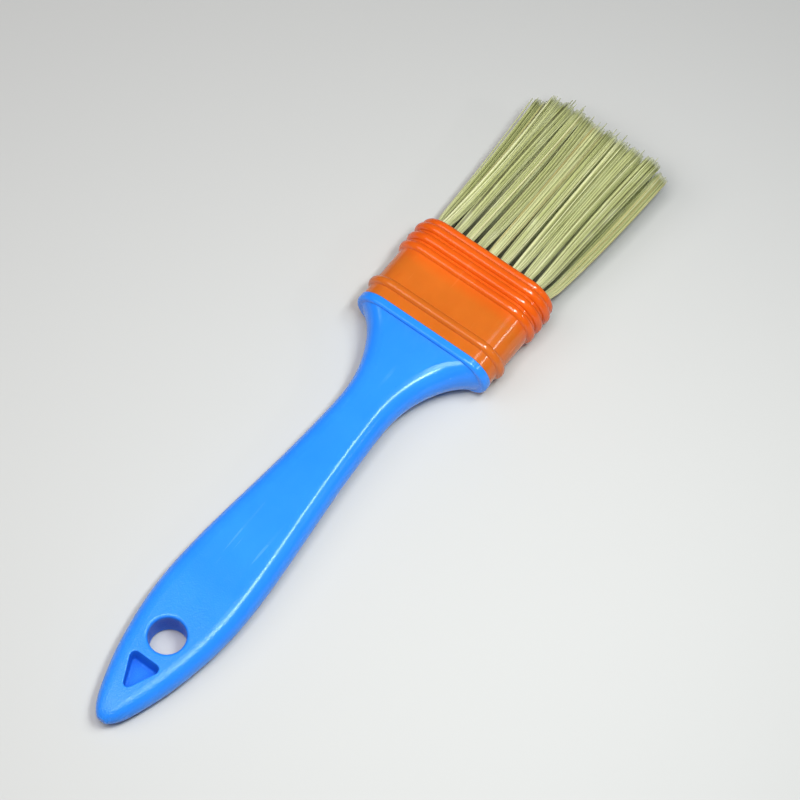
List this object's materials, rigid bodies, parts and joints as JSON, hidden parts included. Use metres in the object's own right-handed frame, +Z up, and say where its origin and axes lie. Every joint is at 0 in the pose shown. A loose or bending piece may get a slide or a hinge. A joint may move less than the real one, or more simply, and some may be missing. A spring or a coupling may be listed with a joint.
{
  "type": "paint brush",
  "caption": "Flat brush with a waisted handle, a ribbed push-fit head and separate fanned tufts of natural fibre; it hangs from a round hole near the tail.",
  "frame": {"origin": "on the surface that the brush lies on, below the middle of its box", "axes": "+X from the tail of the handle to the bristle tips, +Y across the width, +Z up through the thickness"},
  "size_m": [0.194, 0.0409, 0.0153],
  "materials": {
    "handle_plastic": "glossy injection-moulded plastic, bright blue",
    "head_plastic": "glossy, slightly translucent moulded plastic, orange",
    "bristle": "pale straw-green natural fibre, cut ends, satin",
    "anchor_wire": "plated flat wire"
  },
  "bodies": {
    "root": {"handle": "handle_plastic", "brush_head": "head_plastic", "staple_anchors": "anchor_wire", "tuft_upper_1": "bristle", "tuft_upper_2": "bristle", "tuft_upper_3": "bristle", "tuft_upper_4": "bristle", "tuft_upper_5": "bristle", "tuft_upper_6": "bristle", "tuft_upper_7": "bristle", "tuft_upper_8": "bristle", "tuft_upper_9": "bristle", "tuft_middle_1": "bristle", "tuft_middle_2": "bristle", "tuft_middle_3": "bristle", "tuft_middle_4": "bristle", "tuft_middle_5": "bristle", "tuft_middle_6": "bristle", "tuft_middle_7": "bristle", "tuft_middle_8": "bristle", "tuft_middle_9": "bristle", "tuft_middle_10": "bristle", "tuft_lower_1": "bristle", "tuft_lower_2": "bristle", "tuft_lower_3": "bristle", "tuft_lower_4": "bristle", "tuft_lower_5": "bristle", "tuft_lower_6": "bristle", "tuft_lower_7": "bristle", "tuft_lower_8": "bristle", "tuft_lower_9": "bristle"}
  },
  "joints": []
}
